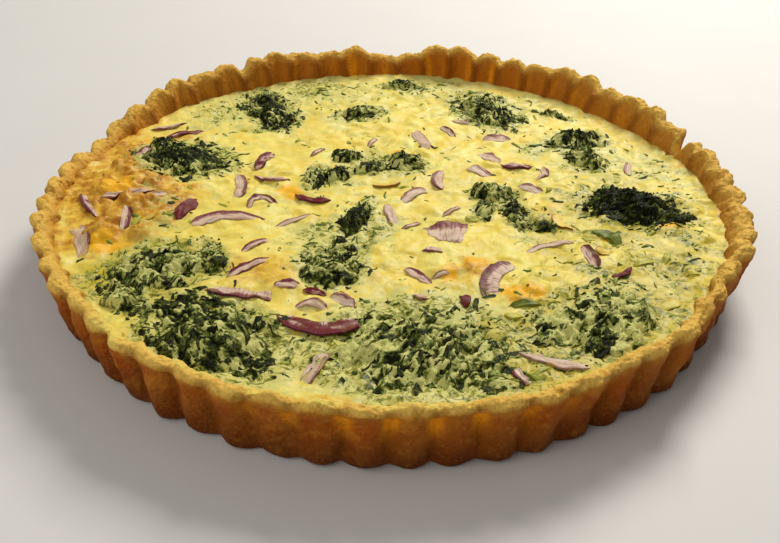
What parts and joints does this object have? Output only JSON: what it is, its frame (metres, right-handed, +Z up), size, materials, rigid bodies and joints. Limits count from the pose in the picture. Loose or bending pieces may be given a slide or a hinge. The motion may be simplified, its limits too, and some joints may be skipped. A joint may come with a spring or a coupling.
{
  "type": "quiche",
  "caption": "Whole round quiche: fluted shortcrust shell, baked egg custard filling, clumps of wilted spinach and slices of red onion on top",
  "frame": {"origin": "centre of the flat underside of the crust, on the surface it rests on", "axes": "+Z up; -Y towards the side shown nearest, +X to its right; the quiche is round in X and Y"},
  "size_m": [0.2426, 0.2388, 0.0272],
  "materials": {
    "crust": "matte baked shortcrust, golden brown",
    "custard": "satin baked egg custard, lemon yellow with toasted patches",
    "spinach": "wilted leaf, dark green",
    "onion": "soft cooked red onion, mauve with darker edges",
    "leek": "soft cooked leek, light green to golden"
  },
  "bodies": {
    "root": {"crust": "crust", "filling": "custard", "leek_01": "leek", "leek_02": "leek", "onion_01": "onion", "onion_02": "onion", "onion_03": "onion", "onion_04": "onion", "onion_05": "onion", "onion_06": "onion", "onion_07": "onion", "onion_08": "onion", "onion_09": "onion", "onion_10": "onion", "onion_11": "onion", "onion_12": "onion", "onion_13": "onion", "onion_14": "onion", "onion_15": "onion", "onion_16": "onion", "onion_17": "onion", "onion_18": "onion", "onion_19": "onion", "onion_20": "onion", "onion_21": "onion", "onion_22": "onion", "onion_23": "onion", "onion_24": "onion", "onion_25": "onion", "onion_26": "onion", "onion_27": "onion", "onion_28": "onion", "onion_29": "onion", "onion_30": "onion", "onion_31": "onion", "onion_32": "onion", "onion_33": "onion", "onion_34": "onion", "onion_35": "onion", "onion_36": "onion", "onion_37": "onion", "onion_38": "onion", "onion_39": "onion", "onion_40": "onion", "spinach_01": "spinach", "spinach_02": "spinach", "spinach_03": "spinach", "spinach_04": "spinach", "spinach_05": "spinach", "spinach_06": "spinach", "spinach_07": "spinach", "spinach_08": "spinach", "spinach_09": "spinach", "spinach_10": "spinach", "spinach_11": "spinach", "spinach_12": "spinach", "spinach_13": "spinach", "spinach_14": "spinach", "spinach_15": "spinach", "spinach_16": "spinach"}
  },
  "joints": []
}
